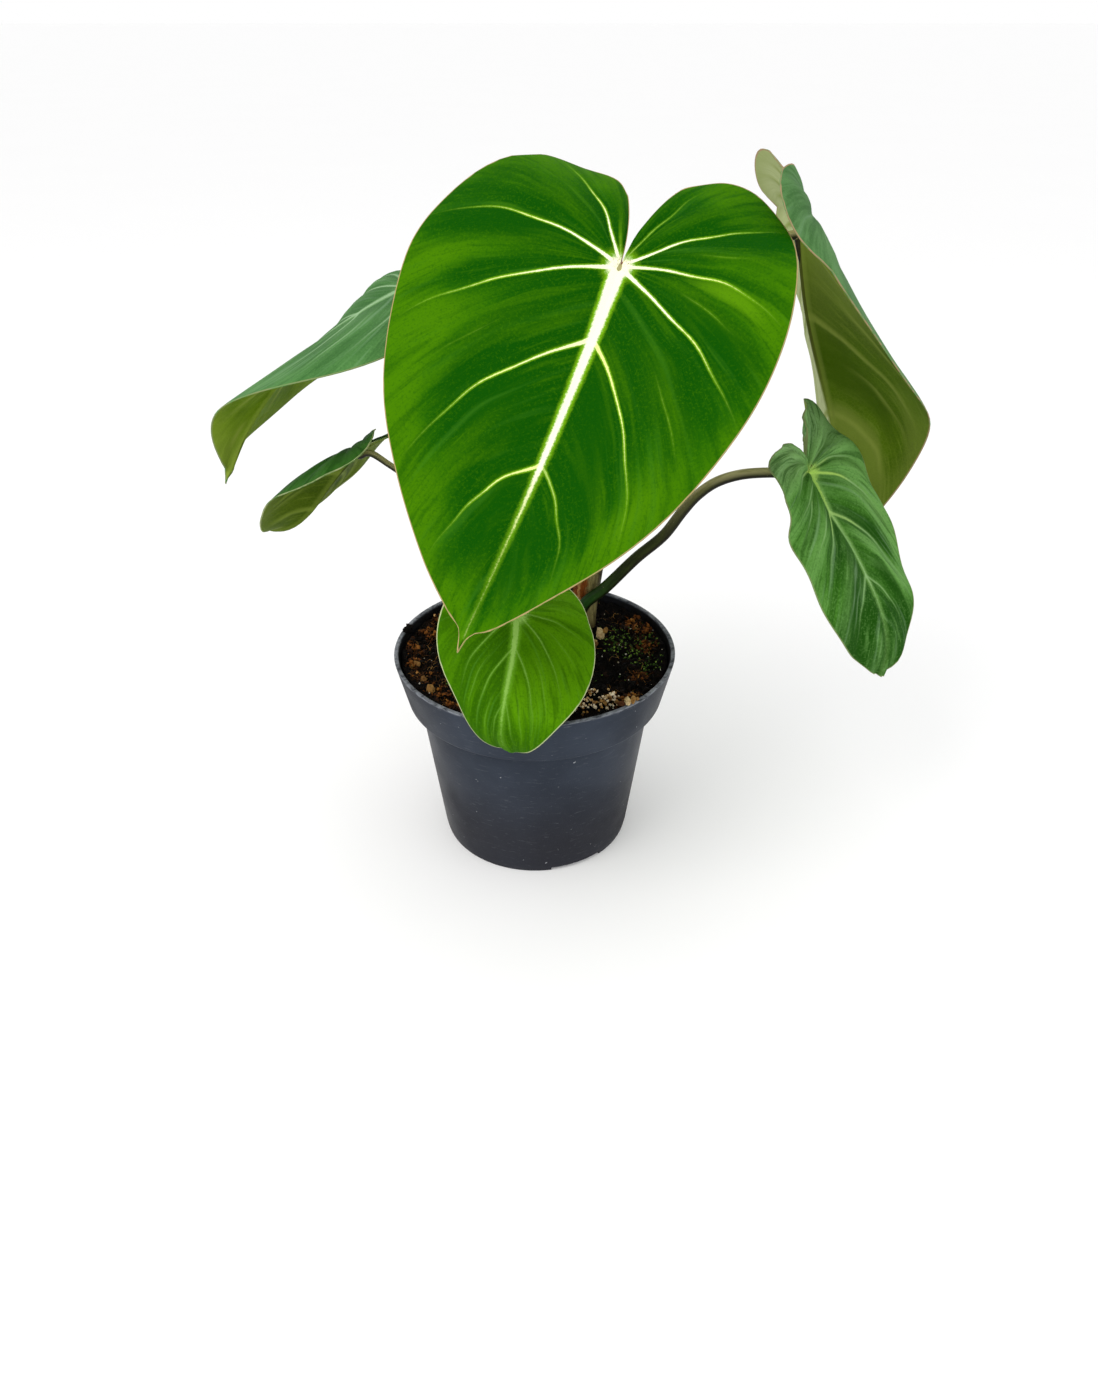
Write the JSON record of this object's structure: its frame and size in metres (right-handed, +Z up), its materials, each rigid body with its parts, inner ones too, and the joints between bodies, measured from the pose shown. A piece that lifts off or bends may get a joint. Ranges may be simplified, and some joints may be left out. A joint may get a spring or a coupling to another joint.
{
  "type": "potted philodendron gloriosum",
  "caption": "Young creeping philodendron with heart-shaped velvety leaves on curved stalks, rooted in soil in a tapered plastic nursery pot.",
  "frame": {"origin": "centre of the pot's underside, on the surface that the pot stands on", "axes": "+Z up along the pot's axis; -Y towards the viewer whom the large leaf faces; +X to that viewer's right"},
  "size_m": [0.2836, 0.1761, 0.2767],
  "materials": {
    "pot_plastic": "satin dark slate, lightly scuffed",
    "soil": "crumbly peat with bark and coir",
    "stem_bark": "rough, ringed with leaf scars",
    "dry_sheath": "papery, streaked rust brown and olive",
    "leaf_stalk": "smooth olive, paler above",
    "leaf_dark": "velvety deep green with cream veins",
    "leaf_young": "velvety light green with pale veins",
    "leaf_cool": "velvety cool green with pale veins",
    "leaf_old": "velvety above, dull olive beneath"
  },
  "bodies": {
    "root": {"pot": "pot_plastic", "soil": "soil", "creeping_stem": "stem_bark", "sheath": "dry_sheath", "leaf_large_stalk": "leaf_stalk", "leaf_large_blade": "leaf_dark", "leaf_front_stalk": "leaf_stalk", "leaf_front_blade": "leaf_young", "leaf_right_low_stalk": "leaf_stalk", "leaf_right_low_blade": "leaf_cool", "leaf_right_back_stalk": "leaf_stalk", "leaf_right_back_blade": "leaf_old", "leaf_left_back_stalk": "leaf_stalk", "leaf_left_back_blade": "leaf_cool", "leaf_left_low_stalk": "leaf_stalk", "leaf_left_low_blade": "leaf_old"}
  },
  "joints": []
}
